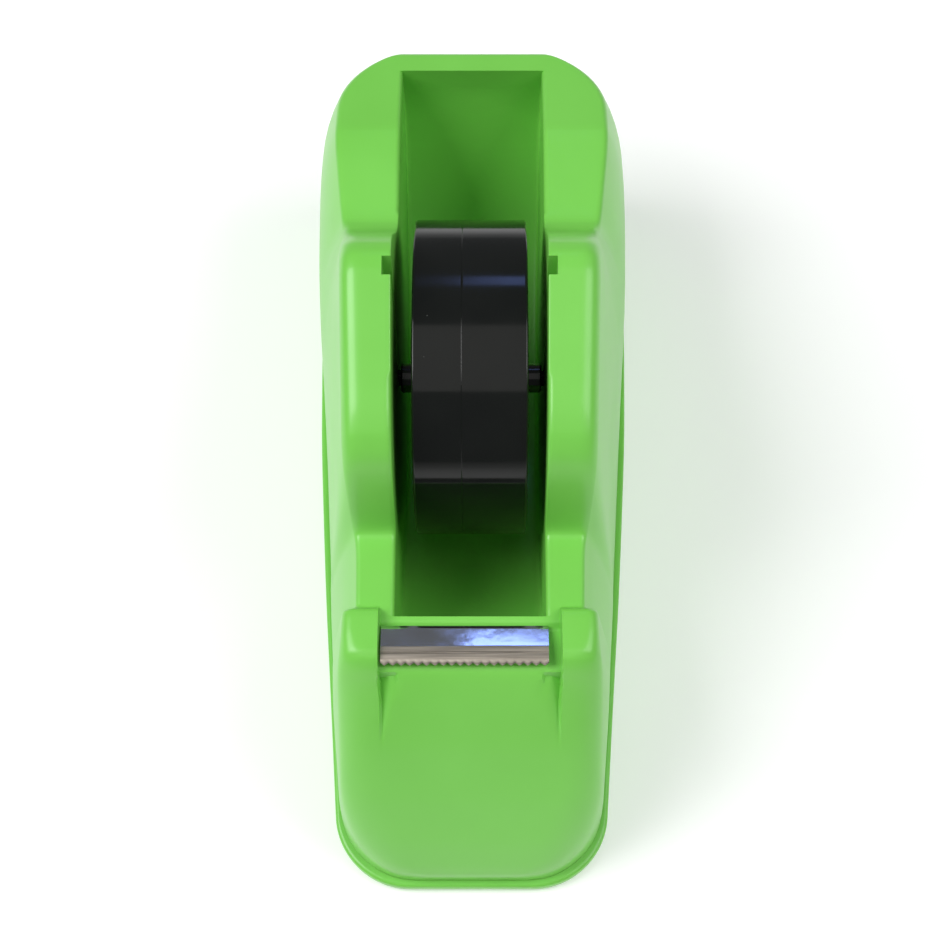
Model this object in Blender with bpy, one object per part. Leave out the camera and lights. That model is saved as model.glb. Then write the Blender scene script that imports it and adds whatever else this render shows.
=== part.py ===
"""Desk tape dispenser: housing, weighted base, blade and a two-part wheel on a lift-out axle.

Frame: X to the right, Y towards the back, Z up, metres. The origin is on the table, under the
middle of the base plate's length and width. The wheel turns about a line along X.
"""
import math

import bmesh
import bpy
import numpy as np
from mathutils import Matrix

MM = 0.001
GAP = 0.3 * MM                      # between touching neighbours

# Overall
LENGTH = 206 * MM
HALF_LENGTH = LENGTH / 2
FOOT_PROUD = 1.2 * MM               # how far the rubber feet stand below the plate
PLATE_THICK = 3.0 * MM
PLATE_TOP = FOOT_PROUD + PLATE_THICK
RIM_PROUD = 1.6 * MM                # the plate's rim outside the housing's foot
FOOT_Z = PLATE_TOP + GAP            # underside of the housing
WALL = 2.4 * MM

# Wheel and axle
AXLE_Y = 7.4 * MM
AXLE_Z = 60 * MM
AXLE_R = 1.9 * MM
AXLE_HALF = 19.0 * MM
WHEEL_R = 37.5 * MM
WHEEL_HALF = 13.0 * MM
SEAM_X = -1.9 * MM                  # the halves meet left of the middle
WHEEL_WALL = 2.2 * MM
HUB_R = 12.4 * MM
HUB_BORE_R = 2.15 * MM
HUB_BOSS_R = 3.5 * MM
HUB_BOSS_HALF = 16.8 * MM
HUB_HALF = 12.0 * MM
HUB_TUBE = 1.6 * MM
HUB_WEB_HALF = 1.0 * MM

# Well: an upright trough, its floor half an ellipse along Y
WELL_MID_Y = 18 * MM
WELL_HALF = 17.4 * MM                # at the middle
WELL_TAPER = 0.004                  # the well widens this much per unit of length towards the back
WELL_REACH = 73.5 * MM
WELL_TOP = 63.5 * MM
WELL_DEPTH = 55.0 * MM
SLOT_HALF = 2.2 * MM
SLOT_LEAN = math.radians(4.3)      # the slots lean back as they rise
SLOT_REACH = 19.4 * MM              # half the distance between the slots' ends
SLOT_LENGTH = 70 * MM               # runs out above the humps

# Side profile of the housing's top, front to back (Y, Z)
SEAT_Z = 61.6 * MM
EAR_ROOT = 44.3 * MM
HUMP_Z = 105.4 * MM
TOP_PROFILE = [
    (-102.0, 7.0), (-100.5, 12.0), (-97.0, 19.5), (-90.0, 31.0), (-81.0, 44.5), (-73.0, 55.5),
    (-70.0, 59.3), (-68.3, 61.0), (-67.3, 61.6), (-54.0, 61.6), (-53.4, 63.0), (-35.2, 63.0),
    (-34.2, 63.6), (-33.4, 66.0), (-32.4, 72.0), (-30.6, 80.5), (-28.0, 87.0), (-24.2, 91.2),
    (-19.5, 93.9), (-13.0, 96.4), (-3.0, 100.6), (5.0, 103.6), (10.0, 105.2), (14.0, 105.4),
    (18.0, 103.6), (22.0, 99.8), (28.0, 91.4), (33.5, 83.2), (38.0, 77.6), (41.5, 75.5),
    (45.0, 75.0), (68.2, 75.0), (69.6, 74.8), (82.0, 71.3), (94.0, 68.0), (98.2, 66.9),
    (100.2, 65.4), (101.0, 62.4), (101.2, 56.0), (101.5, 34.0), (102.1, 7.0),
]

# Half-widths along Y: the foot, and the top before its edge is rounded
FOOT_HALVES = [
    (-103, 30.8), (-84, 32.2), (-62, 33.8), (-45, 35.1), (-27, 36.5), (-8, 37.7), (19, 39.3),
    (50, 40.1), (68, 40.3), (103, 39.3),
]
TOP_HALVES = [
    (-103, 30.0), (-90, 29.4), (-68, 28.8), (-54, 28.4), (-53, 25.7), (-33.5, 26.1),
    (-32, 27.8), (10, 28.6), (30, 28.8), (40, 30.6), (67, 33.4), (90, 33.0), (103, 32.0),
]
# How full the side is between foot and top: 1 is straight, more is fuller
FULLNESS = [
    (-103, 2.6), (-68, 2.5), (-54, 2.4), (-35, 2.2), (-30, 1.4), (-24, 1.15), (8, 1.2), (18, 1.4),
    (28, 2.0), (36, 3.2), (45, 4.2), (103, 4.6),
]
EDGE_ROUND = [
    (-103, 3.0), (-98, 9.0), (-70, 9.0), (-66, 4.0), (-53, 1.2), (-34, 1.2), (-28, 6.0), (26, 5.6),
    (42, 1.2), (70, 1.4), (103, 2.0),
]
FRONT_CORNER = 17.5 * MM
REAR_CORNER = 24.0 * MM
CORNER_STEPS = 7

# Ears beside the blade
EAR_IN = 20.5 * MM
EAR_OUT = 28.4 * MM
EAR_FRONT = -67.2 * MM
EAR_BACK = -54.2 * MM
EAR_TOP = 66.2 * MM

# Blade
BLADE_HALF = 18.85 * MM
BLADE_SHIFT = -1.2 * MM
BLADE_BACK = -57.6 * MM
BLADE_FRONT = -67.6 * MM
BLADE_THICK = 0.8 * MM
TOOTH_PITCH = 1.885 * MM
TOOTH_LENGTH = 0.9 * MM
BLADE_BEND = -63.1 * MM             # where the flat rear flange turns to the satin edge

# Screws, bosses and feet
SCREWS = {
    "front_left": (-24.0 * MM, -78.0 * MM),
    "front_right": (24.0 * MM, -78.0 * MM),
    "rear_left": (-28.0 * MM, 82.0 * MM),
    "rear_right": (28.0 * MM, 82.0 * MM),
}
BOSS_R = 3.8 * MM
PILOT_R = 1.9 * MM
PILOT_DEPTH = 13 * MM
SCREW_R = 1.6 * MM
SCREW_HEAD_R = 3.0 * MM
SCREW_HEAD = 1.3 * MM
SCREW_LENGTH = 12 * MM
FOOT_R = 6.0 * MM
FOOT_RECESS = 0.9 * MM
FEET = {
    "front_left": (-23.0 * MM, -62.0 * MM),
    "front_right": (23.0 * MM, -62.0 * MM),
    "rear_left": (-30.0 * MM, 66.0 * MM),
    "rear_right": (30.0 * MM, 66.0 * MM),
}

# Ballast blocks (half X, half Y, half Z) and middles
BALLAST_FRONT = ((15, 9, 8.0), (0, -77, 13.2))
BALLAST_SIDE = ((5.3, 34, 15), (26.0, 8, 19.5))


def clear_scene():
    """Remove whatever the scene holds."""
    for item in list(bpy.data.objects):
        bpy.data.objects.remove(item, do_unlink=True)


def make_material(name, colour, roughness, metallic=0.0):
    """A Principled BSDF with the piece's colour, roughness and metallic value."""
    material = bpy.data.materials.new(name)
    material.use_nodes = True
    shader = material.node_tree.nodes["Principled BSDF"]
    shader.inputs["Base Color"].default_value = (*colour, 1.0)
    shader.inputs["Roughness"].default_value = roughness
    shader.inputs["Metallic"].default_value = metallic
    return material


def add_object(name, mesh_data, material=None, location=(0, 0, 0)):
    """Make a mesh object from a bmesh, with its faces pointing out."""
    bmesh.ops.recalc_face_normals(mesh_data, faces=mesh_data.faces)
    mesh = bpy.data.meshes.new(name)
    mesh_data.to_mesh(mesh)
    mesh_data.free()
    mesh.shade_smooth()
    mesh.set_sharp_from_angle(angle=math.radians(32))
    item = bpy.data.objects.new(name, mesh)
    item.location = location
    if material is not None:
        mesh.materials.append(material)
    bpy.context.collection.objects.link(item)
    return item


def as_cutter(item):
    """Mark an object as one that only shapes others."""
    item.hide_render = True
    item.display_type = "WIRE"
    return item


def boolean(item, other, operation="DIFFERENCE"):
    """Add a Boolean modifier with the exact solver."""
    modifier = item.modifiers.new(operation.lower(), "BOOLEAN")
    modifier.operation = operation
    modifier.solver = "EXACT"
    modifier.object = other


def at(table, y):
    """Value along Y from a list of (Y, value) in millimetres, returned in metres."""
    keys = [key for key, _ in table]
    values = [value for _, value in table]
    return float(np.interp(y / MM, keys, values)) * MM


def corner_half(half, y, y_front, y_back):
    """A half-width, drawn in near the ends by the rounded plan corners."""
    depth = 0.0
    radius = FRONT_CORNER
    if y < y_front + FRONT_CORNER:
        depth = y_front + FRONT_CORNER - y
    if y > y_back - REAR_CORNER:
        depth = y - (y_back - REAR_CORNER)
        radius = REAR_CORNER
    depth = min(depth, radius)
    return half - radius + math.sqrt(max(radius ** 2 - depth ** 2, 0.0))


def section(y, inset, y_front, y_back, foot_z):
    """Right half of the cross-section at one Y, from the foot up to the mid-plane."""
    foot = corner_half(at(FOOT_HALVES, y) - inset, y, y_front, y_back)
    top = corner_half(at(TOP_HALVES, y) - inset, y, y_front, y_back)
    top = min(top, foot - 0.4 * MM)
    height = at(TOP_PROFILE, y) - inset
    height = max(height, foot_z + 2 * MM)
    power = at(FULLNESS, y) / MM
    edge = max(at(EDGE_ROUND, y) - inset * 0.5, 0.8 * MM)
    edge = min(edge, (height - foot_z) * 0.6)
    points = []
    side_steps = 8
    rise = height - edge - foot_z
    for step in range(side_steps + 1):
        z = foot_z + rise * step / side_steps
        share = (z - foot_z) / (height - foot_z)
        points.append((top + (foot - top) * (1 - share ** power), z))
    start = points[-1]
    end = (top - edge * 0.9, height)
    corner = (top + (start[0] - top) * 0.25, height)
    for step in range(1, 6):
        t = step / 5
        x = (1 - t) ** 2 * start[0] + 2 * t * (1 - t) * corner[0] + t ** 2 * end[0]
        z = (1 - t) ** 2 * start[1] + 2 * t * (1 - t) * corner[1] + t ** 2 * end[1]
        points.append((x, z))
    return points


def stations(y_front, y_back):
    """Y positions of the cross-sections: every bend of the profile and every corner step."""
    values = [y * MM for y, _ in TOP_PROFILE]
    values += [y * MM for y in (45.0, 52.0, 60.0, 75.0, 88.0, -60.0, -47.0, -41.0)]
    for step in range(CORNER_STEPS + 1):
        angle = step / CORNER_STEPS * math.pi / 2
        values.append(y_front + FRONT_CORNER * (1 - math.sin(angle)))
        values.append(y_back - REAR_CORNER * (1 - math.sin(angle)))
    values = sorted(value for value in values if y_front <= value <= y_back)
    kept = [y_front]
    for value in values:
        if value - kept[-1] > 0.45 * MM and y_back - value > 0.3 * MM:
            kept.append(value)
    kept.append(y_back)
    return kept


def loft(inset, y_front, y_back, foot_z):
    """Closed loft of the housing's cross-sections, drawn in by an inset."""
    data = bmesh.new()
    rings = []
    for y in stations(y_front, y_back):
        right = section(y, inset, y_front, y_back, foot_z)
        ring = [data.verts.new((x, y, z)) for x, z in right]
        ring += [data.verts.new((-x, y, z)) for x, z in reversed(right)]
        rings.append(ring)
    count = len(rings[0])
    for first, second in zip(rings, rings[1:]):
        for index in range(count):
            after = (index + 1) % count
            data.faces.new((first[index], first[after], second[after], second[index]))
    data.faces.new(rings[0])
    data.faces.new(reversed(rings[-1]))
    bmesh.ops.triangulate(data, faces=list(data.faces))
    return data


def prism_x(points, x_low, x_high):
    """Extrude a closed (Y, Z) outline along X."""
    data = bmesh.new()
    low = [data.verts.new((x_low, y, z)) for y, z in points]
    high = [data.verts.new((x_high, y, z)) for y, z in points]
    count = len(points)
    for index in range(count):
        after = (index + 1) % count
        data.faces.new((low[index], low[after], high[after], high[index]))
    data.faces.new(low)
    data.faces.new(high)
    return data


def box(low, high):
    """A block between two corners."""
    outline = [(low[1], low[2]), (high[1], low[2]), (high[1], high[2]), (low[1], high[2])]
    return prism_x(outline, low[0], high[0])


def rod(radius, length, segments, axis="Z", middle=(0, 0, 0)):
    """A cylinder about a middle point, along X or Z."""
    data = bmesh.new()
    bmesh.ops.create_cone(data, cap_ends=True, segments=segments, radius1=radius, radius2=radius, depth=length)
    if axis == "X":
        bmesh.ops.rotate(data, verts=data.verts, cent=(0, 0, 0), matrix=Matrix.Rotation(math.pi / 2, 3, "Y"))
    bmesh.ops.translate(data, verts=data.verts, vec=middle)
    return data


def well_outline(grow):
    """Side outline of the well, grown outward by a wall."""
    reach = WELL_REACH + grow
    depth = WELL_DEPTH + grow
    points = []
    steps = 30
    for step in range(steps + 1):
        angle = math.pi + math.pi * step / steps
        points.append((WELL_MID_Y + reach * math.cos(angle), WELL_TOP + depth * math.sin(angle)))
    top = HUMP_Z + 20 * MM
    points.append((WELL_MID_Y + reach, top))
    points.append((WELL_MID_Y - reach, top))
    return points


def well_block(grow):
    """The space of the well, grown outward by a wall and wider towards the back."""
    data = prism_x(well_outline(grow), -1.0, 1.0)
    for vert in data.verts:
        vert.co.x *= WELL_HALF + WELL_TAPER * (vert.co.y - WELL_MID_Y) + grow
    return data


def slot_outline(grow, length):
    """Side outline of an axle slot: a round seat, open upwards, leaning back."""
    half = SLOT_HALF + grow
    points = []
    steps = 10
    for step in range(steps + 1):
        angle = math.pi + math.pi * step / steps
        points.append((half * math.cos(angle), half * math.sin(angle)))
    points.append((half, length))
    points.append((-half, length))
    lean_cos = math.cos(SLOT_LEAN)
    lean_sin = math.sin(SLOT_LEAN)
    return [(AXLE_Y + y * lean_cos + z * lean_sin, AXLE_Z - y * lean_sin + z * lean_cos) for y, z in points]


def make_cavity():
    """The hollow under the housing, which leaves the well's walls, slot ribs and screw bosses."""
    inner = loft(WALL, -HALF_LENGTH + RIM_PROUD + WALL, HALF_LENGTH - RIM_PROUD - WALL, FOOT_Z - 3 * MM)
    cavity = as_cutter(add_object("cavity", inner))
    keep = [add_object("well_walls", well_block(WALL))]
    for side in (-1, 1):
        ends = sorted((side * WELL_HALF, side * (SLOT_REACH + WALL)))
        keep.append(add_object("slot_rib", prism_x(slot_outline(WALL, SLOT_LENGTH), *ends)))
    for x, y in SCREWS.values():
        keep.append(add_object("boss", rod(BOSS_R, 200 * MM, 20, middle=(x, y, 100 * MM))))
    for item in keep:
        as_cutter(item)
        boolean(cavity, item)
    return cavity


def ear(side):
    """A raised lug beside the blade, with rounded edges."""
    ends = sorted((side * EAR_IN, side * EAR_OUT))
    data = box((ends[0], EAR_FRONT, EAR_ROOT), (ends[1], EAR_BACK, EAR_TOP))
    top_edges = [e for e in data.edges if min(v.co.z for v in e.verts) > EAR_TOP - 0.1 * MM]
    upright = [e for e in data.edges if abs(e.verts[0].co.z - e.verts[1].co.z) > MM]
    bmesh.ops.bevel(data, geom=top_edges + upright, offset=2.2 * MM, segments=3, profile=0.5, affect="EDGES")
    bmesh.ops.triangulate(data, faces=list(data.faces))
    return data


def make_housing(material):
    """The one-piece plastic moulding."""
    y_front = -HALF_LENGTH + RIM_PROUD
    y_back = HALF_LENGTH - RIM_PROUD
    housing = add_object("housing", loft(0.0, y_front, y_back, FOOT_Z), material)
    for side in (-1, 1):
        lug = as_cutter(add_object("ear", ear(side)))
        boolean(housing, lug, "UNION")
    boolean(housing, make_cavity())
    void = as_cutter(add_object("well", well_block(0.0)))
    boolean(housing, void)
    slots = as_cutter(add_object("slots", prism_x(slot_outline(0.0, SLOT_LENGTH), -SLOT_REACH, SLOT_REACH)))
    boolean(housing, slots)
    for x, y in SCREWS.values():
        hole = rod(PILOT_R, 2 * PILOT_DEPTH, 16, middle=(x, y, FOOT_Z))
        boolean(housing, as_cutter(add_object("pilot", hole)))
    return housing


def plate_outline():
    """Plan of the base plate, anticlockwise."""
    right = []
    y_front = -HALF_LENGTH
    y_back = HALF_LENGTH
    values = [-40 * MM, -10 * MM, 19 * MM, 45 * MM]
    for step in range(CORNER_STEPS + 1):
        angle = step / CORNER_STEPS * math.pi / 2
        values.append(y_front + FRONT_CORNER * (1 - math.sin(angle)))
        values.append(y_back - REAR_CORNER * (1 - math.sin(angle)))
    for y in sorted(values):
        half = corner_half(at(FOOT_HALVES, y) + RIM_PROUD, y, y_front, y_back)
        right.append((half, y))
    return right + [(-x, y) for x, y in reversed(right)]


def make_base_plate(material):
    """Closing plate with a rounded rim, foot recesses and countersunk screw holes."""
    data = bmesh.new()
    outline = [data.verts.new((x, y, FOOT_PROUD)) for x, y in plate_outline()]
    face = data.faces.new(outline)
    grown = bmesh.ops.extrude_face_region(data, geom=[face])
    raised = [item for item in grown["geom"] if isinstance(item, bmesh.types.BMVert)]
    bmesh.ops.translate(data, verts=raised, vec=(0, 0, PLATE_THICK))
    rim = [e for e in data.edges if all(v in raised for v in e.verts)]
    bmesh.ops.bevel(data, geom=rim, offset=0.8 * MM, segments=2, profile=0.5, affect="EDGES")
    plate = add_object("base_plate", data, material)
    for x, y in FEET.values():
        recess = rod(FOOT_R + GAP, 2 * FOOT_RECESS, 24, middle=(x, y, FOOT_PROUD))
        boolean(plate, as_cutter(add_object("recess", recess)))
    for x, y in SCREWS.values():
        hole = rod(SCREW_R + GAP, 10 * MM, 16, middle=(x, y, PLATE_TOP))
        sink = rod(SCREW_HEAD_R + GAP, 2 * (SCREW_HEAD + GAP), 20, middle=(x, y, FOOT_PROUD))
        boolean(plate, as_cutter(add_object("screw_hole", hole)))
        boolean(plate, as_cutter(add_object("head_recess", sink)))
    return plate


def revolve_x(name, outline, material, segments, location):
    """Turn a closed (X, radius) outline about the X axis."""
    data = bmesh.new()
    rings = []
    for step in range(segments):
        angle = 2 * math.pi * step / segments
        rings.append([data.verts.new((x, r * math.cos(angle), r * math.sin(angle))) for x, r in outline])
    count = len(outline)
    for index in range(segments):
        first = rings[index]
        second = rings[(index + 1) % segments]
        for point in range(count):
            after = (point + 1) % count
            data.faces.new((first[point], first[after], second[after], second[point]))
    return add_object(name, data, material, location)


def wheel_half(name, outer_x, seam_x, material):
    """One half of the wheel: a rim, a recessed web and a sleeve on the hub."""
    sign = 1 if outer_x > seam_x else -1
    web_out = outer_x - sign * 3.0 * MM
    web_in = web_out - sign * 2.0 * MM
    edge = 0.5 * MM
    sleeve = HUB_R + 2.0 * MM
    bore = HUB_R + GAP
    rim_in = WHEEL_R - WHEEL_WALL
    outline = [
        (outer_x, WHEEL_R - edge), (outer_x - sign * edge, WHEEL_R), (seam_x, WHEEL_R), (seam_x, rim_in),
        (web_in, rim_in), (web_in, sleeve), (seam_x, sleeve), (seam_x, bore),
        (outer_x, bore), (outer_x, sleeve), (web_out, sleeve), (web_out, rim_in), (outer_x, rim_in),
    ]
    return revolve_x(name, outline, material, 72, (0, AXLE_Y, AXLE_Z))


def make_wheel(material):
    """The two wheel halves, the hub they sit on and the axle."""
    half_gap = 0.1 * MM
    wheel_half("wheel_left_half", -WHEEL_HALF, SEAM_X - half_gap, material)
    wheel_half("wheel_right_half", WHEEL_HALF, SEAM_X + half_gap, material)
    tube_in = HUB_R - HUB_TUBE
    hub = [
        (-HUB_BOSS_HALF, HUB_BORE_R), (-HUB_BOSS_HALF, HUB_BOSS_R), (-HUB_WEB_HALF, HUB_BOSS_R),
        (-HUB_WEB_HALF, tube_in), (-HUB_HALF, tube_in), (-HUB_HALF, HUB_R),
        (HUB_HALF, HUB_R), (HUB_HALF, tube_in), (HUB_WEB_HALF, tube_in),
        (HUB_WEB_HALF, HUB_BOSS_R), (HUB_BOSS_HALF, HUB_BOSS_R), (HUB_BOSS_HALF, HUB_BORE_R),
    ]
    revolve_x("hub_sleeve", hub, material, 40, (0, AXLE_Y, AXLE_Z))
    data = rod(AXLE_R, 2 * AXLE_HALF, 32, axis="X")
    ends = [e for e in data.edges if abs(abs(e.verts[0].co.x) - AXLE_HALF) < 1e-6
            and abs(e.verts[0].co.x - e.verts[1].co.x) < 1e-6]
    bmesh.ops.bevel(data, geom=ends, offset=0.5 * MM, segments=1, affect="EDGES")
    add_object("axle", data, material, (0, AXLE_Y, AXLE_Z))


def blade_ring(front):
    """Cross-section of the bent strip, as (Y, Z), for one position of its front edge."""
    bottom = SEAT_Z + GAP
    top = bottom + BLADE_THICK
    root = BLADE_FRONT + TOOTH_LENGTH
    return [
        (BLADE_BACK, bottom), (BLADE_BACK, top), (BLADE_BEND, top + 1.3 * MM), (root, top + 1.5 * MM),
        (front, top + 1.4 * MM), (front, bottom + 1.7 * MM), (root, bottom + 1.5 * MM),
        (BLADE_BEND, bottom + 1.3 * MM),
    ]


def make_blade(material):
    """Bent steel strip whose front edge is cut into teeth."""
    count = int(round(2 * BLADE_HALF / TOOTH_PITCH))
    root = BLADE_FRONT + TOOTH_LENGTH
    data = bmesh.new()
    rings = []
    for index in range(2 * count + 1):
        x = -BLADE_HALF + index * BLADE_HALF / count
        front = BLADE_FRONT if index % 2 else root - 0.15 * MM
        rings.append([data.verts.new((x, y, z)) for y, z in blade_ring(front)])
    size = len(rings[0])
    for first, second in zip(rings, rings[1:]):
        for point in range(size):
            after = (point + 1) % size
            data.faces.new((first[point], first[after], second[after], second[point]))
    data.faces.new(rings[0])
    data.faces.new(rings[-1])
    bmesh.ops.triangulate(data, faces=list(data.faces))
    add_object("blade", data, material, (BLADE_SHIFT, 0, 0))


def make_ballast(material):
    """Blocks that stand on the base plate inside the housing."""
    for name, sign, dims in (("ballast_front", 0, BALLAST_FRONT), ("ballast_left", -1, BALLAST_SIDE),
                             ("ballast_right", 1, BALLAST_SIDE)):
        half, middle = dims
        centre = [middle[0] * (sign or 1) * MM, middle[1] * MM, PLATE_TOP + GAP + half[2] * MM]
        data = box([-h * MM for h in half], [h * MM for h in half])
        bmesh.ops.bevel(data, geom=list(data.edges), offset=0.8 * MM, segments=1, affect="EDGES")
        add_object(name, data, material, centre)


def make_screws(material):
    """Pan-head screws up through the plate into the housing's bosses."""
    for name, (x, y) in SCREWS.items():
        seat = FOOT_PROUD + 0.2 * MM
        data = bmesh.new()
        outline = [
            (0.0, 0.0), (SCREW_HEAD_R - 0.3 * MM, 0.0), (SCREW_HEAD_R, 0.3 * MM), (SCREW_HEAD_R, SCREW_HEAD),
            (SCREW_R, SCREW_HEAD), (SCREW_R, SCREW_LENGTH - MM), (SCREW_R * 0.4, SCREW_LENGTH),
            (0.0, SCREW_LENGTH),
        ]
        chain = [data.verts.new((r, 0, z)) for r, z in outline]
        edges = [data.edges.new(pair) for pair in zip(chain, chain[1:])]
        bmesh.ops.spin(data, geom=chain + edges, cent=(0, 0, 0), axis=(0, 0, 1), angle=2 * math.pi,
                       steps=20, use_merge=True, use_duplicate=False)
        bmesh.ops.remove_doubles(data, verts=data.verts, dist=1e-6)
        add_object("base_screw_" + name, data, material, (x, y, seat))


def make_feet(material):
    """Rubber discs, part sunk in the plate."""
    height = FOOT_PROUD + FOOT_RECESS - GAP
    for name, (x, y) in FEET.items():
        data = rod(FOOT_R, height, 24)
        low = [e for e in data.edges if max(v.co.z for v in e.verts) < 0]
        bmesh.ops.bevel(data, geom=low, offset=0.35 * MM, segments=1, affect="EDGES")
        add_object("rubber_foot_" + name, data, material, (x, y, height / 2))


def main():
    clear_scene()
    green = make_material("green_plastic", (0.19, 0.62, 0.09), 0.32)
    black = make_material("black_plastic", (0.012, 0.012, 0.012), 0.16)
    steel = make_material("blade_steel", (0.62, 0.62, 0.64), 0.16, 1.0)
    zinc = make_material("screw_steel", (0.55, 0.56, 0.58), 0.35, 1.0)
    iron = make_material("ballast_iron", (0.2, 0.19, 0.18), 0.7, 1.0)
    rubber = make_material("foot_rubber", (0.03, 0.03, 0.03), 0.85)
    make_housing(green)
    make_base_plate(green)
    make_blade(steel)
    make_wheel(black)
    make_ballast(iron)
    make_screws(zinc)
    make_feet(rubber)


main()
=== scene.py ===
"""Looks for the desk tape dispenser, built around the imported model.

Shapes are worked out in millimetres and made in metres, with +Z up and +Y towards the back.
"""
import math

import bmesh
import bpy
import numpy as np
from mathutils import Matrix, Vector


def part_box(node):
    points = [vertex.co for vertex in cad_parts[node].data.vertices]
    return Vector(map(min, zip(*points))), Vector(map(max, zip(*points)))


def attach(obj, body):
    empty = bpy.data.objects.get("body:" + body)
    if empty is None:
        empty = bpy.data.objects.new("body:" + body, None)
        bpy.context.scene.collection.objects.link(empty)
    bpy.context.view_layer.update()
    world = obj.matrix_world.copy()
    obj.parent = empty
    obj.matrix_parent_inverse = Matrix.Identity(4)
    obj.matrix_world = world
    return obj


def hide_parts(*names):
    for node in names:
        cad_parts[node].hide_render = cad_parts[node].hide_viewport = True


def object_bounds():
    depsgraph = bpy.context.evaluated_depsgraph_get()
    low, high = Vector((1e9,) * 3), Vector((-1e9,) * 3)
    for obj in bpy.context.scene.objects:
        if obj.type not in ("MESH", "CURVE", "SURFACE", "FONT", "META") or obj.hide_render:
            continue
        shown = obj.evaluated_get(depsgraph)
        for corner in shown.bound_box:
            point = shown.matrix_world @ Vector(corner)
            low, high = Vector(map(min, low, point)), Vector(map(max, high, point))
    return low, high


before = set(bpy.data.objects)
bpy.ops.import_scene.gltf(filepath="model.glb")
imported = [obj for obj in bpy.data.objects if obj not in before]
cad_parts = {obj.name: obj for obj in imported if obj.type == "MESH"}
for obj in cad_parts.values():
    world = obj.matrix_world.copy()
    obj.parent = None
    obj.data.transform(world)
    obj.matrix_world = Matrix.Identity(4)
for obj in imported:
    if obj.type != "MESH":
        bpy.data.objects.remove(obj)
CAD_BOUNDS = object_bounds()

MM = 0.001


def millimetres(corners):
    """A box's two corners, from metres."""
    return [[value / MM for value in corner] for corner in corners]


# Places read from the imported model, in millimetres
HOUSING_LOW, HOUSING_HIGH = millimetres(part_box("housing"))
PLATE_LOW, PLATE_HIGH = millimetres(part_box("base_plate"))
AXLE_LOW, AXLE_HIGH = millimetres(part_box("axle"))
BLADE_LOW, BLADE_HIGH = millimetres(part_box("blade"))
LEFT_LOW, LEFT_HIGH = millimetres(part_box("wheel_left_half"))
RIGHT_LOW, RIGHT_HIGH = millimetres(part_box("wheel_right_half"))
HUB_LOW, HUB_HIGH = millimetres(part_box("hub_sleeve"))

AXLE_Y = (AXLE_LOW[1] + AXLE_HIGH[1]) / 2
AXLE_Z = (AXLE_LOW[2] + AXLE_HIGH[2]) / 2
AXLE_R = (AXLE_HIGH[2] - AXLE_LOW[2]) / 2
WHEEL_R = (LEFT_HIGH[2] - LEFT_LOW[2]) / 2
HUB_R = (HUB_HIGH[2] - HUB_LOW[2]) / 2
FOOT_Z = HOUSING_LOW[2]
Y_FRONT = HOUSING_LOW[1]
Y_BACK = HOUSING_HIGH[1]
HALF_LENGTH = PLATE_HIGH[1]

# Well: half-width at the middle, its growth per unit of Y, and the ellipse of the floor
WELL_HALF = 17.4
WELL_TAPER = 0.004
WELL_MID_Y = 18.0
WELL_REACH = 73.5
WELL_TOP = 63.5
WELL_DEPTH = 55.0

# Axle slots, which lean back as they rise
SLOT_HALF = 2.2
SLOT_LEAN = math.radians(4.3)
SLOT_LENGTH = 70.0
SLOT_REACH = 19.4

# Top of the housing beside the well and the blade, front to back
OUTER_PROFILE = [
    (-102.1, 6.0), (-101.6, 8.5), (-100.5, 12.0), (-97.0, 19.5), (-90.0, 31.0), (-81.0, 44.5),
    (-74.0, 54.4), (-70.5, 59.6), (-68.4, 63.4), (-66.8, 65.4), (-65.0, 66.2), (-56.5, 66.2),
    (-55.0, 65.9), (-54.1, 64.8), (-53.8, 63.0), (-35.2, 63.0), (-34.2, 63.6), (-33.4, 66.0),
    (-32.4, 72.0), (-30.6, 80.5), (-28.0, 87.0), (-24.2, 91.2), (-19.5, 93.9), (-13.0, 96.4),
    (-3.0, 100.6), (5.0, 103.6), (10.0, 105.2), (14.0, 105.4), (18.0, 103.6), (22.0, 99.8),
    (28.0, 91.4), (33.5, 83.2), (38.0, 77.6), (41.5, 75.5), (45.0, 75.0), (68.2, 75.0),
    (69.6, 74.8), (82.0, 71.3), (94.0, 68.0), (98.2, 66.9), (100.2, 65.4), (101.0, 62.4),
    (101.2, 56.0), (101.5, 34.0), (102.1, 7.0),
]
# The same between the ears
INNER_PROFILE = [
    (-102.1, 6.0), (-101.6, 8.5), (-100.5, 12.0), (-97.0, 19.5), (-90.0, 31.0), (-81.0, 44.5),
    (-73.0, 55.5), (-70.0, 59.3), (-68.6, 60.8), (-67.6, 61.5), (-57.7, 61.5), (-57.3, 62.8),
    (-53.8, 63.0), (-35.2, 63.0),
]
HUMP_START = 17                     # first point of the outer profile behind the low shelf

# Half-widths along Y: the foot, and the top before its edge is rounded
FOOT_HALVES = [
    (-103, 30.8), (-84, 32.2), (-62, 33.8), (-45, 35.1), (-27, 36.5), (-8, 37.7), (19, 39.3), (50, 40.1),
    (68, 40.3), (103, 39.3),
]
TOP_HALVES = [
    (-103, 30.0), (-90, 29.4), (-68, 28.8), (-54, 28.4), (-53.4, 25.7), (-33.5, 26.1), (-32, 27.8),
    (10, 28.6), (30, 28.8), (40, 30.6), (67, 33.4), (90, 33.0), (103, 32.0),
]
# How full the side is between foot and top: 1 is straight, more is fuller
FULLNESS = [
    (-103, 2.6), (-68, 2.5), (-54, 2.4), (-35, 2.2), (-30, 1.4), (-24, 1.15), (8, 1.2), (18, 1.4),
    (28, 2.0), (36, 3.2), (45, 4.2), (103, 4.6),
]
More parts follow.
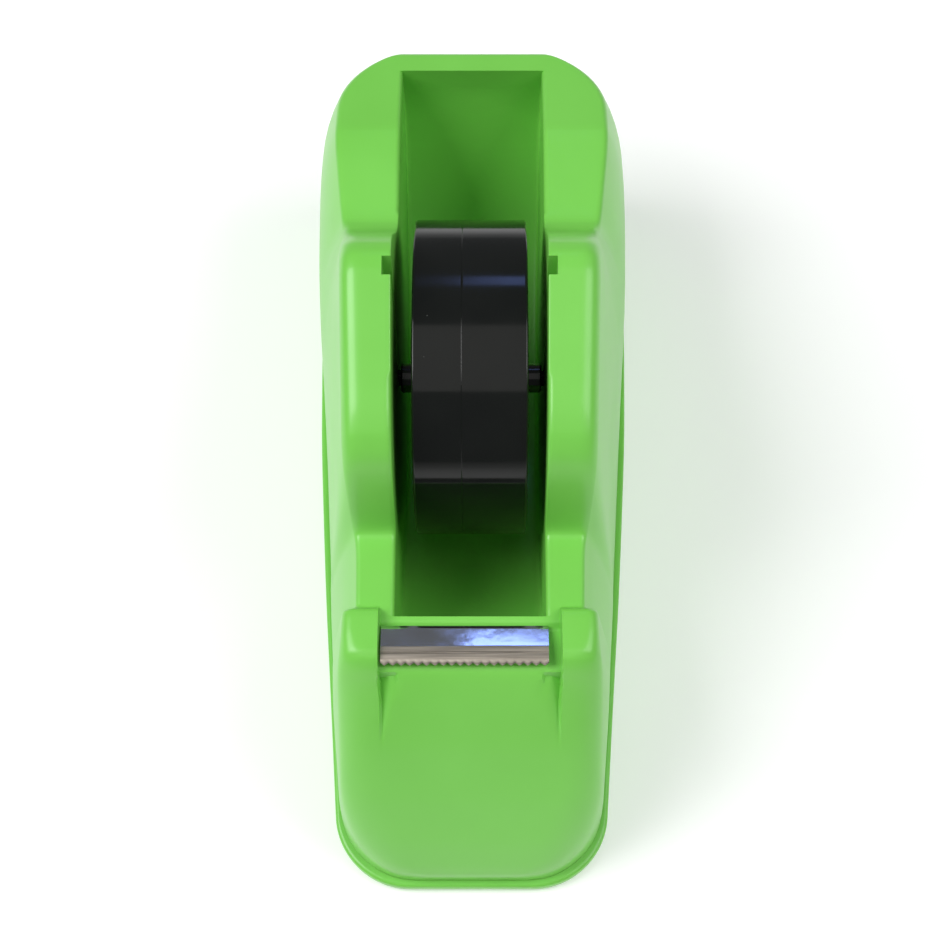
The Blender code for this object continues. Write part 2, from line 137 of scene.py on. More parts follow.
# Radius between the side and the top
EDGE_ROUND = [
    (-103, 3.0), (-98, 9.0), (-72, 9.0), (-67.5, 7.5), (-64, 4.4), (-60, 2.8), (-54, 2.6),
    (-53, 1.0), (-34, 1.1), (-28, 4.9), (26, 4.6), (42, 1.2), (70, 1.4), (103, 2.0),
]
FRONT_CORNER = 17.5
REAR_CORNER = 24.0
RIM_PROUD = 1.6

# Ears, and the two facets that run down from them
EAR_IN = 20.5
EAR_WALL = 0.3
EAR_REACH_Y = -50                   # behind this the top is level from side to side
FACET_IN = 4.3
FACET_END = -81.0
FACET_START = -68.4
FACET_DIP = 3.2
SIDE_CALM = 0.5                     # below this share of the height the side has no step at the ears
SIDE_FULL = 0.97

# Well edge
RIM_NARROW = 0.35
RIM_WIDE = 1.1
RIM_FROM_Y = -11.5                  # narrow between these two
RIM_TO_Y = 44
WELL_FILLET = 1.2

# How the cross-sections are divided
FLOOR_STEPS = [0.0, 4.0, 8.0, 12.0, 15.0, 16.3]
TOP_COLUMNS = [18.8, 19.8, 20.2, 20.35, 20.65, 20.9, 21.4]
WALL_STEPS = 16
ARC_STEPS = 4
SIDE_STEPS = 14
SHOULDER_STEPS = 9
LEAST_HEIGHT = 2.0                  # of the top above FOOT_Z
LEAST_DRAFT = 0.4                   # the foot is at least this much wider than the top, on each side
LEAST_ROUND = 0.8
COLUMN_MARGIN = 0.4                 # from the last top column to the shoulder

# Smoothing of the tables
CRISP = 0.45
SOFT = 1.0
GRID = 0.05
GRID_END = 110.0

# Wheel and hub
RIM_WALL = 2.2
SLEEVE_WALL = 2.0
WEB_DEPTH = 3.0
WEB_THICK = 2.0
WHEEL_EDGE = 0.5
SEAM_EDGE = 0.12
SEAM_CLOSE = 0.11                   # each half comes this much nearer to the seam
SUPPORT = 0.25                      # keeps a flat band flat beside its rounded edges
BORE_GAP = 0.3
AXLE_GAP = 0.25
HUB_BOSS_R = 3.5
HUB_TUBE = 1.6
HUB_HALF = 12.0
HUB_WEB_HALF = 1.0
HUB_FILLET = 0.8
SMALL_EDGE = 0.4
PINHOLE_R = 0.02                    # bore of the turned pin, too fine to see

# Blade
TOOTH_COUNT = 20
TOOTH_LENGTH = 0.9
TOOTH_DEPTHS = (0.25, 0.58)         # in front of the root: a valley, and half way up a tooth
BLADE_THICK = 0.8
BLADE_BEND = 5.5                    # in front of the back edge
BLADE_RISE = 1.24                   # of the upper face, from the back edge to the bend

# Base plate
PLATE_ROUND = 0.9
RECESS_GAP = 0.3
SCREW_HEAD = 1.3
SCREW_HOLE_R = 1.9

SMOOTH_ANGLE = math.radians(38)
MERGE = 2e-6


def smoothed(table, crisp_to, crisp_sigma, soft_sigma):
    """A table of (Y, value) as a function, its bends rounded less in front of a limit."""
    grid = np.arange(-GRID_END, GRID_END, GRID)
    raw = np.interp(grid, [key for key, _ in table], [value for _, value in table])

    def blur(sigma):
        reach = int(4 * sigma / GRID)
        kernel = np.exp(-0.5 * (np.arange(-reach, reach + 1) * GRID / sigma) ** 2)
        padded = np.pad(raw, reach, mode="edge")
        return np.convolve(padded, kernel / kernel.sum(), mode="valid")

    share = np.clip((grid - crisp_to) / 4.0, 0.0, 1.0)
    values = blur(crisp_sigma) * (1 - share) + blur(soft_sigma) * share
    return lambda y: float(np.interp(y, grid, values))


outer_top = smoothed(OUTER_PROFILE, -40.0, CRISP, SOFT)
inner_top = smoothed(INNER_PROFILE + OUTER_PROFILE[HUMP_START:], -40.0, CRISP, SOFT)
foot_half = smoothed(FOOT_HALVES, 200.0, 6.0, 6.0)
top_half = smoothed(TOP_HALVES, -45.0, 0.5, 4.0)
side_half = smoothed(TOP_HALVES, 200.0, 6.0, 6.0)
fullness = smoothed(FULLNESS, 200.0, 3.0, 3.0)
edge_round = smoothed(EDGE_ROUND, -45.0, 0.8, 2.5)


def corner_half(half, y, y_front, y_back):
    """A half-width, drawn in near the ends by the rounded plan corners."""
    depth = 0.0
    radius = FRONT_CORNER
    if y < y_front + FRONT_CORNER:
        depth = y_front + FRONT_CORNER - y
    if y > y_back - REAR_CORNER:
        depth = y - (y_back - REAR_CORNER)
        radius = REAR_CORNER
    depth = min(depth, radius)
    return half - radius + math.sqrt(max(radius ** 2 - depth ** 2, 0.0))


def well_floor(y):
    """Height of the well's floor at Y, above everything outside the well."""
    along = (y - WELL_MID_Y) / WELL_REACH
    if abs(along) >= 1:
        return 999.0
    return WELL_TOP - WELL_DEPTH * math.sqrt(1 - along ** 2)


def top_height(x, y):
    """Height of the housing's top away from the well."""
    outer = outer_top(y)
    if y > EAR_REACH_Y:
        return outer
    inner = inner_top(y)
    if FACET_END < y < FACET_START:
        share = (y - FACET_END) / (FACET_START - FACET_END)
        width = FACET_IN * share
        inside = max(0.0, 1 - (EAR_IN - min(x, EAR_IN)) / max(width, 0.01))
        inner -= FACET_DIP * share * inside
    wall = min(max((x - EAR_IN) / EAR_WALL + 0.5, 0.0), 1.0)
    return inner * (1 - wall) + outer * wall


def rim_width(y):
    """The rounding along the well's edge is wider in front of the humps' crests and at the back."""
    if RIM_FROM_Y < y < RIM_TO_Y:
        return RIM_NARROW
    return RIM_WIDE


def half_section(y):
    """Right half of one cross-section, from the middle of the well out and down to the foot."""
    foot = corner_half(foot_half(y), y, Y_FRONT, Y_BACK)
    top = min(corner_half(top_half(y), y, Y_FRONT, Y_BACK), foot - LEAST_DRAFT)
    crest = max(outer_top(y), FOOT_Z + LEAST_HEIGHT)
    power = fullness(y)
    edge = min(max(edge_round(y), LEAST_ROUND), (crest - FOOT_Z) * 0.6)
    shoulder = top - edge * 0.9
    scale = min(1.0, (shoulder - COLUMN_MARGIN) / TOP_COLUMNS[-1])
    points = []
    floor = well_floor(y)
    for x in FLOOR_STEPS:
        x *= scale
        points.append((x, min(floor, max(top_height(x, y), FOOT_Z + LEAST_HEIGHT))))
    rim = rim_width(y)
    rim_x = (WELL_HALF + WELL_TAPER * (y - WELL_MID_Y)) * scale
    rim_top = max(top_height(rim_x + rim, y), FOOT_Z + LEAST_HEIGHT)
    deep = min(floor, rim_top)
    fillet = min(WELL_FILLET, (rim_top - deep) * 0.3)
    for step in range(1, ARC_STEPS):
        angle = step / ARC_STEPS * math.pi / 2
        points.append((rim_x - fillet * (1 - math.sin(angle)), deep + fillet * (1 - math.cos(angle))))
    chamfer = min(rim, max(rim_top - deep, 0.0) * 0.5)
    low = deep + fillet
    high = rim_top - chamfer
    for step in range(WALL_STEPS + 1):
        points.append((rim_x, low + max(high - low, 0.0) * step / WALL_STEPS))
    for step in range(1, ARC_STEPS):
        angle = step / ARC_STEPS * math.pi / 2
        points.append((rim_x + chamfer * (1 - math.cos(angle)), high + chamfer * math.sin(angle)))
    points.append((rim_x + rim * scale, rim_top))
    for x in TOP_COLUMNS:
        x *= scale
        points.append((x, max(top_height(x, y), FOOT_Z + LEAST_HEIGHT)))
    last = TOP_COLUMNS[-1] * scale
    for step in (1, 2):
        points.append((last + (shoulder - last) * step / 3, crest))
    rise = crest - edge - FOOT_Z
    calm = min(corner_half(side_half(y), y, Y_FRONT, Y_BACK), foot - LEAST_DRAFT)
    side = []
    for step in range(SIDE_STEPS + 1):
        z = FOOT_Z + rise * step / SIDE_STEPS
        share = (z - FOOT_Z) / (crest - FOOT_Z)
        step_share = min(max((share - SIDE_CALM) / (SIDE_FULL - SIDE_CALM), 0.0), 1.0) ** 2
        near = calm + (top - calm) * step_share
        side.append((near + (foot - near) * (1 - share ** power), z))
    start = side[-1]
    end = (shoulder, crest)
    corner = (top + (start[0] - top) * 0.25, crest)
    for step in range(SHOULDER_STEPS, 0, -1):
        t = step / SHOULDER_STEPS
        x = (1 - t) ** 2 * start[0] + 2 * t * (1 - t) * corner[0] + t ** 2 * end[0]
        z = (1 - t) ** 2 * start[1] + 2 * t * (1 - t) * corner[1] + t ** 2 * end[1]
        points.append((x, z))
    points += reversed(side)
    return points


def stations():
    """Y positions of the cross-sections, close together where the shape turns sharply."""
    values = set(np.round(np.arange(Y_FRONT, Y_BACK, 1.2), 3))
    for low, high, step in ((Y_FRONT, Y_FRONT + 3, 0.3), (-70, -52, 0.3), (-36, -24, 0.5), (10, 44, 0.8),
                            (Y_BACK - 8, Y_BACK, 0.25)):
        values |= set(np.round(np.arange(low, high, step), 3))
    for side in (-1, 1):
        for step in range(1, 40):
            angle = (step / 40) ** 1.6 * math.pi / 3
            values.add(round(WELL_MID_Y + side * WELL_REACH * math.cos(angle), 3))
        for offset in (0.0, 0.05, 0.3):
            values.add(round(WELL_MID_Y + side * (WELL_REACH + offset), 3))
    kept = [Y_FRONT]
    for value in sorted(values):
        if value - kept[-1] > 0.04 and Y_BACK - value > 0.1:
            kept.append(value)
    return kept + [Y_BACK]


def smooth(mesh):
    """Shade a mesh smooth with crisp corners."""
    mesh.shade_smooth()
    mesh.set_sharp_from_angle(angle=SMOOTH_ANGLE)


def link(name, mesh):
    """Put a mesh in the scene."""
    smooth(mesh)
    item = bpy.data.objects.new(name, mesh)
    bpy.context.collection.objects.link(item)
    return item


def from_rings(name, rings, closed=False):
    """Skin a list of equal rings of points, capped at both ends or closed in a loop."""
    count = len(rings[0])
    verts = [tuple(value * MM for value in point) for ring in rings for point in ring]
    faces = []
    pairs = len(rings) if closed else len(rings) - 1
    for index in range(pairs):
        first = index * count
        second = ((index + 1) % len(rings)) * count
        for point in range(count):
            after = (point + 1) % count
            faces.append((first + point, first + after, second + after, second + point))
    if not closed:
        faces.append(tuple(range(count)))
        faces.append(tuple((len(rings) - 1) * count + index for index in reversed(range(count))))
    mesh = bpy.data.meshes.new(name)
    mesh.from_pydata(verts, [], faces)
    data = bmesh.new()
    data.from_mesh(mesh)
    bmesh.ops.remove_doubles(data, verts=data.verts, dist=MERGE)
    bmesh.ops.recalc_face_normals(data, faces=data.faces)
    data.to_mesh(mesh)
    data.free()
    return link(name, mesh)


def slot_cutter():
    """Both axle slots as one bar across the well, round below and open above."""
    shape = []
    for step in range(25):
        angle = math.pi + math.pi * step / 24
        shape.append((SLOT_HALF * math.cos(angle), SLOT_HALF * math.sin(angle)))
    shape += [(SLOT_HALF, SLOT_LENGTH), (-SLOT_HALF, SLOT_LENGTH)]
    lean_cos, lean_sin = math.cos(SLOT_LEAN), math.sin(SLOT_LEAN)
    rings = []
    for x in (-SLOT_REACH, SLOT_REACH):
        rings.append([(x, AXLE_Y + y * lean_cos + z * lean_sin, AXLE_Z - y * lean_sin + z * lean_cos)
                      for y, z in shape])
    return from_rings("slot_cutter", rings)


def subtract(body, cutter):
    """Cut one mesh out of another for good."""
    modifier = body.modifiers.new("cut", "BOOLEAN")
    modifier.operation = "DIFFERENCE"
    modifier.solver = "EXACT"
    modifier.object = cutter
    bpy.context.view_layer.update()
    graph = bpy.context.evaluated_depsgraph_get()
    mesh = bpy.data.meshes.new_from_object(body.evaluated_get(graph))
    body.modifiers.clear()
    body.data = mesh
    bpy.data.objects.remove(cutter, do_unlink=True)
    smooth(mesh)


def disc_cutter(x, y, radius, top):
    """An upright cylinder from below the plate up to a height."""
    rings = []
    for z in (PLATE_LOW[2] - 1.0, top):
        ring = []
        for step in range(64):
            angle = 2 * math.pi * step / 64
            ring.append((x + radius * math.cos(angle), y + radius * math.sin(angle), z))
        rings.append(ring)
    return from_rings("recess", rings)


def make_housing():
    """The moulding: cross-sections from the toe to the back, less the axle slots."""
    rings = []
    for y in stations():
        right = half_section(y)
        ring = [(x, y, z) for x, z in right]
        ring += [(-x, y, z) for x, z in reversed(right) if x > 1e-6]
        rings.append(ring)
    body = from_rings("housing_skin", rings)
    subtract(body, slot_cutter())
    return body


def plate_ring(inset, z):
    """Plan outline of the base plate, drawn in by an inset."""
    right = []
    values = list(np.arange(-80.0, 78.0, 6.0))
    for step in range(25):
        angle = step / 24 * math.pi / 2
        values.append(-HALF_LENGTH + FRONT_CORNER * (1 - math.sin(angle)))
        values.append(HALF_LENGTH - REAR_CORNER * (1 - math.sin(angle)))
    for y in sorted(set(values)):
        half = corner_half(foot_half(y) + RIM_PROUD, y, -HALF_LENGTH, HALF_LENGTH)
        shrink = 1 - inset / HALF_LENGTH
        right.append((half - inset, y * shrink, z))
    return right + [(-x, y, z) for x, y, z in reversed(right)]


def make_plate():
    """Base plate with a rounded rim, recesses for the feet and holes for the screws."""
    low = PLATE_LOW[2]
    high = PLATE_HIGH[2]
    rings = [plate_ring(0.6, low), plate_ring(0.15, low + 0.2), plate_ring(0.0, low + 0.7)]
    for step in range(6):
        angle = step / 5 * math.pi / 2
        inset = PLATE_ROUND * (1 - math.cos(angle))
        rings.append(plate_ring(inset, high - PLATE_ROUND + PLATE_ROUND * math.sin(angle)))
    plate = from_rings("base_plate_rim", rings)
    for name in sorted(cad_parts):
        if name.startswith(("rubber_foot", "base_screw")):
            start, end = millimetres(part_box(name))
            x, y = (start[0] + end[0]) / 2, (start[1] + end[1]) / 2
            radius = (end[0] - start[0]) / 2 + RECESS_GAP
            if name.startswith("rubber_foot"):
                subtract(plate, disc_cutter(x, y, radius, end[2] + RECESS_GAP))
            else:
                subtract(plate, disc_cutter(x, y, radius, start[2] + SCREW_HEAD + RECESS_GAP))
                subtract(plate, disc_cutter(x, y, SCREW_HOLE_R, high + 1.0))
    return plate


def lathe(name, outline, segments):
    """Turn a closed (X, radius) outline about the axle."""
    rings = []
    for step in range(segments):
        angle = 2 * math.pi * step / segments
        rings.append([(x, AXLE_Y + r * math.cos(angle), AXLE_Z + r * math.sin(angle))
                      for x, r in outline])
    return from_rings(name, rings, closed=True)


def arc(radius, start, end, steps=5):
    """Points of an arc in (X, radius), angles in degrees from +X towards +radius."""
    points = []
    for step in range(steps + 1):
        angle = math.radians(start + (end - start) * step / steps)
        points.append((radius * math.cos(angle), radius * math.sin(angle)))
    return points


def wheel_half(name, outer_x, seam_x):
    """A rim with rounded edges, a recessed web and a sleeve on the hub."""
    sign = 1 if outer_x > seam_x else -1
    rim_in = WHEEL_R - RIM_WALL
    sleeve = HUB_R + SLEEVE_WALL
    bore = HUB_R + BORE_GAP
    web_out = outer_x - sign * WEB_DEPTH
    web_in = web_out - sign * WEB_THICK
    seam_x -= sign * SEAM_CLOSE
    outline = [(outer_x - sign * WHEEL_EDGE + sign * x, WHEEL_R - WHEEL_EDGE + r)
               for x, r in arc(WHEEL_EDGE, 0, 90)]
    outline += [(outer_x - sign * (WHEEL_EDGE + SUPPORT), WHEEL_R),
                (seam_x + sign * (SEAM_EDGE + SUPPORT), WHEEL_R)]
    outline += [(seam_x + sign * SEAM_EDGE + sign * x, WHEEL_R - SEAM_EDGE + r)
                for x, r in arc(SEAM_EDGE, 90, 180, 3)]
    outline += [
        (seam_x, rim_in), (web_in, rim_in), (web_in, sleeve), (seam_x, sleeve), (seam_x, bore),
        (outer_x - sign * 0.3, bore), (outer_x, bore + 0.3), (outer_x, sleeve - 0.4),
        (outer_x - sign * 0.4, sleeve), (web_out + sign * 0.6, sleeve), (web_out, sleeve + 0.6),
        (web_out, rim_in - 0.6), (web_out + sign * 0.6, rim_in), (outer_x - sign * 0.3, rim_in),
        (outer_x, rim_in + 0.3),
    ]
    return lathe(name, outline, 180)


def make_hub():
    """Small-core hub: a tube on a web, and a boss that reaches towards the well's walls."""
    bore = AXLE_R + AXLE_GAP
    boss = HUB_BOSS_R
    tube = HUB_R - HUB_TUBE
    web = HUB_WEB_HALF
    reach = HUB_HIGH[0]
    half = [
        (reach, bore), (reach, boss - SMALL_EDGE), (reach - SMALL_EDGE, boss), (web + HUB_FILLET, boss),
        (web, boss + HUB_FILLET), (web, tube - HUB_FILLET), (web + HUB_FILLET, tube), (HUB_HALF, tube),
        (HUB_HALF, HUB_R - SMALL_EDGE), (HUB_HALF - SMALL_EDGE, HUB_R),
    ]
    return lathe("hub_turned", [(-x, r) for x, r in half] + list(reversed(half)), 96)


def make_axle():
    """Plain pin with rounded ends."""
    low, high = AXLE_LOW[0], AXLE_HIGH[0]
    shoulder = AXLE_R - SMALL_EDGE
    outline = [(low, PINHOLE_R), (low, shoulder)]
    outline += [(low + SMALL_EDGE + x, shoulder + r) for x, r in arc(SMALL_EDGE, 180, 90)]
    outline += [(high - SMALL_EDGE + x, shoulder + r) for x, r in arc(SMALL_EDGE, 90, 0)]
    outline += [(high, PINHOLE_R)]
    return lathe("axle_pin_turned", outline, 64)


def make_blade():
    """Bent strip: a bright rear flange and a satin front edge ground to teeth."""
    half = (BLADE_HIGH[0] - BLADE_LOW[0]) / 2
    middle = (BLADE_HIGH[0] + BLADE_LOW[0]) / 2
    back, front = BLADE_HIGH[1], BLADE_LOW[1]
    bottom = BLADE_LOW[2]
    top = bottom + BLADE_THICK
    bend = back - BLADE_BEND
    root = front + TOOTH_LENGTH
    valley, slope = (root - depth for depth in TOOTH_DEPTHS)
    rings = []
    for index in range(4 * TOOTH_COUNT + 1):
        x = middle - half + index * half / (2 * TOOTH_COUNT)
        tip = (valley, slope, front, slope)[index % 4]
        ring = [(back, bottom), (back, top - 0.15), (back - 0.15, top)]
        for step in range(1, 6):
            t = step / 6
            ring.append((back - 0.15 + (bend + 0.4 - back + 0.15) * t, top + BLADE_RISE * t))
        for step in range(5):
            t = step / 4
            ring.append((bend + 0.4 - 0.8 * t, top + BLADE_RISE + 0.11 * math.sin(t * math.pi / 2)))
        # a fine groove, the bevel and the tooth
        ring += [(bend - 1.3, top + 1.38), (bend - 1.4, top + 1.30), (bend - 1.55, top + 1.30),
                 (bend - 1.65, top + 1.40), (root + 0.5, top + 1.5), (root - 0.02, top + 1.38),
                 (tip, top + 0.98), (tip, top + 0.86)]
        ring += [(root - 0.02, bottom + 1.5), (bend, bottom + 1.3)]
        rings.append([(x, y, z) for y, z in ring])
    return from_rings("blade_strip", rings)


# ---------------------------------------------------------------- materials

BEND_BLUR = 0.0001                  # metres, to each side of the bend
BRUSH_SCALE = (60.0, 2600.0, 2600.0)

def new_material(name):
    """A material with its nodes, links and shader."""
    material = bpy.data.materials.new(name)
    material.use_nodes = True
    nodes = material.node_tree.nodes
    return material, nodes, material.node_tree.links, nodes["Principled BSDF"]


def node(nodes, kind, **values):
    """Add a node and set its inputs and properties by name."""
    item = nodes.new(kind)
    for key, value in values.items():
        name = key.replace("_", " ")
        if name.title() in item.inputs:
            item.inputs[name.title()].default_value = value
        else:
            setattr(item, key, value)
    return item


def object_coords(nodes):
    """The object's own coordinates."""
    return nodes.new("ShaderNodeTexCoord").outputs["Object"]


def ramp(nodes, links, source, stops):
    """Turn a value into a colour through stops of (position, colour)."""
    item = nodes.new("ShaderNodeValToRGB")
    elements = item.color_ramp.elements
    while len(elements) < len(stops):
        elements.new(0.5)
    for element, (position, colour) in zip(elements, stops):
        element.position = position
        element.color = (*colour, 1.0)
    links.new(source, item.inputs["Fac"])
    return item.outputs["Color"]


def grey(value):
    """A neutral colour."""
    return (value, value, value)


def blended(nodes, links, share, first, second, blend_type="MIX"):
    """Mix two colours; the share and each colour are a socket or a value."""
    item = nodes.new("ShaderNodeMix")
    item.data_type = "RGBA"
    item.blend_type = blend_type
    for name, value in (("Factor", share), ("A", first), ("B", second)):
        if isinstance(value, bpy.types.NodeSocket):
            links.new(value, item.inputs[name])
        else:
            item.inputs[name].default_value = value
    return item.outputs["Result"]


def rare_specks(nodes, links, coords, scale, size, chance):
    """A mask of small specks in a few of the cells: two stops for their size, two for how many."""
    cells = node(nodes, "ShaderNodeTexVoronoi", scale=scale)
    links.new(coords, cells.inputs["Vector"])
    dots = ramp(nodes, links, cells.outputs["Distance"], [(size[0], grey(1.0)), (size[1], grey(0.0))])
    luck = node(nodes, "ShaderNodeTexWhiteNoise", noise_dimensions="3D")
    links.new(cells.outputs["Position"], luck.inputs["Vector"])
    chosen = ramp(nodes, links, luck.outputs["Value"], [(chance[0], grey(0.0)), (chance[1], grey(1.0))])
    both = nodes.new("ShaderNodeMath")
    both.operation = "MULTIPLY"
    links.new(dots, both.inputs[0])
    links.new(chosen, both.inputs[1])
    return both.outputs[0]


def bumped(nodes, links, shader, height, strength, distance):
    """Let a height give the surface a fine relief."""
    bump = node(nodes, "ShaderNodeBump", strength=strength, distance=distance)
    links.new(height, bump.inputs["Height"])
    links.new(bump.outputs["Normal"], shader.inputs["Normal"])


def green_plastic():
    """Lime moulded plastic: faint clouding, rare dark specks and a fine moulded grain."""
    material, nodes, links, shader = new_material("lime_plastic")
    coords = object_coords(nodes)
    cloud = node(nodes, "ShaderNodeTexNoise", scale=26.0, detail=3.0)
    links.new(coords, cloud.inputs["Vector"])
    tone = ramp(nodes, links, cloud.outputs["Fac"],
                [(0.3, (0.185, 0.600, 0.078)), (0.7, (0.205, 0.645, 0.092))])
    specks = rare_specks(nodes, links, coords, 85.0, (0.022, 0.03), (0.985, 0.99))
    colour = blended(nodes, links, specks, tone, (0.012, 0.05, 0.008, 1.0))
    links.new(colour, shader.inputs["Base Color"])
    gloss = ramp(nodes, links, cloud.outputs["Fac"], [(0.25, grey(0.27)), (0.75, grey(0.36))])
    links.new(gloss, shader.inputs["Roughness"])
    fine = node(nodes, "ShaderNodeTexNoise", scale=420.0, detail=2.0)
    links.new(coords, fine.inputs["Vector"])
    bumped(nodes, links, shader, fine.outputs["Fac"], 0.05, 0.0002)
    shader.inputs["Specular IOR Level"].default_value = 0.5
    shader.inputs["IOR"].default_value = 1.5
    return material


def black_plastic():
    """Glossy black plastic with wiped patches and dust."""
    material, nodes, links, shader = new_material("black_gloss")
    coords = object_coords(nodes)
    cloud = node(nodes, "ShaderNodeTexNoise", scale=40.0, detail=4.0)
    links.new(coords, cloud.inputs["Vector"])
    tone = ramp(nodes, links, cloud.outputs["Fac"],
                [(0.3, (0.0045, 0.0055, 0.005)), (0.7, (0.008, 0.009, 0.008))])
    dust = rare_specks(nodes, links, coords, 420.0, (0.045, 0.07), (0.93, 0.95))
    colour = blended(nodes, links, dust, tone, (0.09, 0.10, 0.09, 1.0))
    links.new(colour, shader.inputs["Base Color"])
    wipe = node(nodes, "ShaderNodeTexNoise", scale=34.0, detail=3.0)
    links.new(coords, wipe.inputs["Vector"])
    gloss = ramp(nodes, links, wipe.outputs["Fac"], [(0.36, grey(0.06)), (0.66, grey(0.16))])
    links.new(gloss, shader.inputs["Roughness"])
    shader.inputs["Specular IOR Level"].default_value = 0.4
    return material


def blade_steel():
    """Steel, satin and warm in front of the bend, bright and cool behind it."""
    material, nodes, links, shader = new_material("blade_bright_steel")
    shader.inputs["Metallic"].default_value = 1.0
    coords = object_coords(nodes)
    split = nodes.new("ShaderNodeSeparateXYZ")
    links.new(coords, split.inputs["Vector"])
    bend = (BLADE_HIGH[1] - BLADE_BEND) * MM
    place = nodes.new("ShaderNodeMapRange")
    links.new(split.outputs["Y"], place.inputs["Value"])
    place.inputs["From Min"].default_value = bend - BEND_BLUR
    place.inputs["From Max"].default_value = bend + BEND_BLUR
    behind = place.outputs["Result"]
    stretch = nodes.new("ShaderNodeMapping")
    stretch.inputs["Scale"].default_value = BRUSH_SCALE
    links.new(coords, stretch.inputs["Vector"])
    grain = node(nodes, "ShaderNodeTexNoise", scale=1.0, detail=3.0)
    links.new(stretch.outputs["Vector"], grain.inputs["Vector"])
    smear = node(nodes, "ShaderNodeTexNoise", scale=120.0, detail=3.0)
    links.new(coords, smear.inputs["Vector"])
    satin = ramp(nodes, links, grain.outputs["Fac"], [(0.3, grey(0.34)), (0.7, grey(0.5))])
    bright = ramp(nodes, links, smear.outputs["Fac"], [(0.35, grey(0.05)), (0.75, grey(0.14))])
    links.new(blended(nodes, links, behind, satin, bright), shader.inputs["Roughness"])
    warm = ramp(nodes, links, grain.outputs["Fac"],
                [(0.3, (0.42, 0.37, 0.31)), (0.7, (0.54, 0.48, 0.41))])
    cool = ramp(nodes, links, smear.outputs["Fac"],
                [(0.3, (0.62, 0.64, 0.68)), (0.7, (0.70, 0.72, 0.76))])
    links.new(blended(nodes, links, behind, warm, cool), shader.inputs["Base Color"])
    bumped(nodes, links, shader, smear.outputs["Fac"], 0.12, 0.0003)
    return material


def speckled(name, dark, light, roughness, metallic, scale):
    """A material whose tone, gloss and height vary with one noise."""
    material, nodes, links, shader = new_material(name)
    shader.inputs["Metallic"].default_value = metallic
    coords = object_coords(nodes)
    cloud = node(nodes, "ShaderNodeTexNoise", scale=scale, detail=5.0)
    links.new(coords, cloud.inputs["Vector"])
    tone = ramp(nodes, links, cloud.outputs["Fac"], [(0.3, dark), (0.7, light)])
    links.new(tone, shader.inputs["Base Color"])
    gloss = ramp(nodes, links, cloud.outputs["Fac"],
                 [(0.3, grey(roughness - 0.06)), (0.7, grey(roughness + 0.06))])
    links.new(gloss, shader.inputs["Roughness"])
    bumped(nodes, links, shader, cloud.outputs["Fac"], 0.2, 0.0003)
    return material


def dress(item, material):
    """Give an object one material."""
    item.data.materials.clear()
    item.data.materials.append(material)


def add_piece(item, body, replaced, material):
    """Give a new piece its body, the CAD node it stands for and its finish."""
    dress(item, material)
    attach(item, body)
    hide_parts(replaced)


# ---------------------------------------------------------------- build

green = green_plastic()
black = black_plastic()
steel = blade_steel()
zinc = speckled("zinc_plate", (0.42, 0.43, 0.46), (0.58, 0.59, 0.62), 0.34, 1.0, 240.0)
iron = speckled("cast_ballast", (0.10, 0.095, 0.09), (0.2, 0.19, 0.18), 0.7, 0.6, 160.0)
rubber = speckled("black_rubber", (0.018, 0.018, 0.018), (0.035, 0.035, 0.034), 0.82, 0.0, 500.0)

add_piece(make_housing(), "stand", "housing", green)
add_piece(make_plate(), "stand", "base_plate", green)
add_piece(make_blade(), "stand", "blade", steel)
add_piece(wheel_half("wheel_left_turned", LEFT_LOW[0], LEFT_HIGH[0]), "wheel", "wheel_left_half",
          black)
add_piece(wheel_half("wheel_right_turned", RIGHT_HIGH[0], RIGHT_LOW[0]), "wheel", "wheel_right_half",
          black)
add_piece(make_hub(), "wheel", "hub_sleeve", black)
add_piece(make_axle(), "axle_pin", "axle", black)

FINISHES = {"ballast": iron, "base_screw": zinc, "rubber_foot": rubber}
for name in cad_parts:
    for start, material in FINISHES.items():
        if name.startswith(start):
            item = bpy.data.objects[name]
            for index in range(len(item.material_slots)):
                item.material_slots[index].material = material

# ---------------------------------------------------------------- stage

# Floor with a painted pool of light: full colour within FLOOR_BRIGHT_REACH of the middle, dimming to
# FLOOR_DIM by FLOOR_DIM_REACH (metres)
FLOOR_HALF = 3.0
FLOOR_BRIGHT_REACH = 0.34
FLOOR_DIM_REACH = 0.75
FLOOR_DIM = 0.55
# strength of the floor's painted glow (emission, not a lamp)
FLOOR_PAINTED_GLOW = 0.25
floor_mesh = bpy.data.meshes.new("floor")
corners = [(-FLOOR_HALF, -FLOOR_HALF, 0.0), (FLOOR_HALF, -FLOOR_HALF, 0.0),
           (FLOOR_HALF, FLOOR_HALF, 0.0), (-FLOOR_HALF, FLOOR_HALF, 0.0)]
floor_mesh.from_pydata(corners, [], [(0, 1, 2, 3)])
floor = bpy.data.objects.new("floor", floor_mesh)
bpy.context.collection.objects.link(floor)
floor_material, floor_nodes, floor_links, floor_shader = new_material("pale_floor")
floor_coords = object_coords(floor_nodes)
floor_cloud = node(floor_nodes, "ShaderNodeTexNoise", scale=3.0, detail=2.0)
floor_links.new(floor_coords, floor_cloud.inputs["Vector"])
floor_tone = ramp(floor_nodes, floor_links, floor_cloud.outputs["Fac"],
                  [(0.3, grey(0.86)), (0.7, grey(0.88))])
floor_reach = floor_nodes.new("ShaderNodeVectorMath")
floor_reach.operation = "LENGTH"
floor_links.new(floor_coords, floor_reach.inputs[0])
# painted pool of light: the floor is lighter near the object and darker farther out
floor_painted_light_pool = ramp(floor_nodes, floor_links, floor_reach.outputs["Value"],
                  [(FLOOR_BRIGHT_REACH, grey(1.0)), (FLOOR_DIM_REACH, grey(FLOOR_DIM))])
floor_colour = blended(floor_nodes, floor_links, 1.0, floor_tone, floor_painted_light_pool, "MULTIPLY")
floor_links.new(floor_colour, floor_shader.inputs["Base Color"])
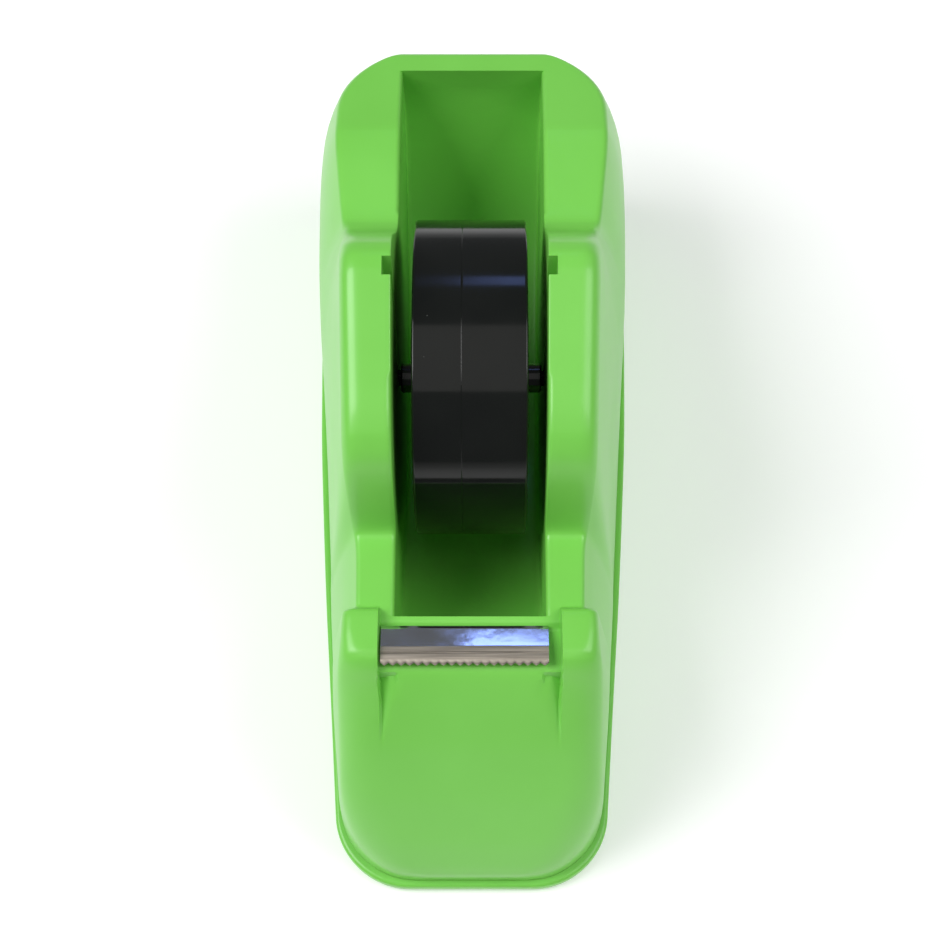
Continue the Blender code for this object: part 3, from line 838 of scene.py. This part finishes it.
# painted glow: the floor emits light with the same falloff as the painted pool of light, though it is no
# lamp
floor_links.new(floor_painted_light_pool, floor_shader.inputs["Emission Color"])
floor_shader.inputs["Roughness"].default_value = 0.9
floor_shader.inputs["Emission Strength"].default_value = FLOOR_PAINTED_GLOW
floor.data.materials.append(floor_material)

world = bpy.data.worlds.new("studio")
bpy.context.scene.world = world
world.use_nodes = True
background = world.node_tree.nodes["Background"]
background.inputs["Color"].default_value = (0.93, 0.96, 1.0, 1.0)
background.inputs["Strength"].default_value = 0.16

MIDDLE = Vector([(low + high) / 2 for low, high in zip(*CAD_BOUNDS)])


def area_light(name, place, size, power, colour=(1, 1, 1)):
    """A soft rectangular lamp aimed at the object's middle."""
    data = bpy.data.lights.new(name, "AREA")
    data.shape = "RECTANGLE"
    data.size, data.size_y = size
    data.energy = power
    data.color = colour
    lamp = bpy.data.objects.new(name, data)
    lamp.location = place
    lamp.rotation_euler = (MIDDLE - Vector(place)).to_track_quat("-Z", "Y").to_euler()
    bpy.context.collection.objects.link(lamp)


area_light("overhead", (0.0, -0.35, 1.4), (1.6, 1.2), 2.8, (1.0, 0.97, 0.93))
area_light("key_left", (-0.85, -0.10, 1.05), (0.8, 0.8), 13.2)
area_light("fill_right", (0.85, -0.10, 1.05), (0.8, 0.8), 7.6)
area_light("back_window", (0.034, 0.85, 0.95), (0.095, 0.16), 0.14, (0.27, 0.4, 1.0))

# ---------------------------------------------------------------- camera

CAMERA_FROM_MIDDLE = Vector((0.0040, -0.2168, 0.4653))
CAMERA_DOWN = 66.1
CAMERA_SHIFT_X = -0.0168
CAMERA_SHIFT_Y = 0.08
FOCAL_PIXELS = 1918.0
FRAME_PIXELS = 944.0
SENSOR = 36.0
camera_data = bpy.data.cameras.new("camera")
camera_data.sensor_width = SENSOR
camera_data.lens = FOCAL_PIXELS / FRAME_PIXELS * SENSOR
camera_data.shift_x = CAMERA_SHIFT_X
camera_data.shift_y = CAMERA_SHIFT_Y
camera = bpy.data.objects.new("camera", camera_data)
camera.location = Vector((0.0, MIDDLE.y, 0.0)) + CAMERA_FROM_MIDDLE
camera.rotation_euler = (math.radians(90 - CAMERA_DOWN), 0.0, 0.0)
bpy.context.collection.objects.link(camera)
bpy.context.scene.camera = camera
bpy.context.scene.view_settings.view_transform = "Standard"
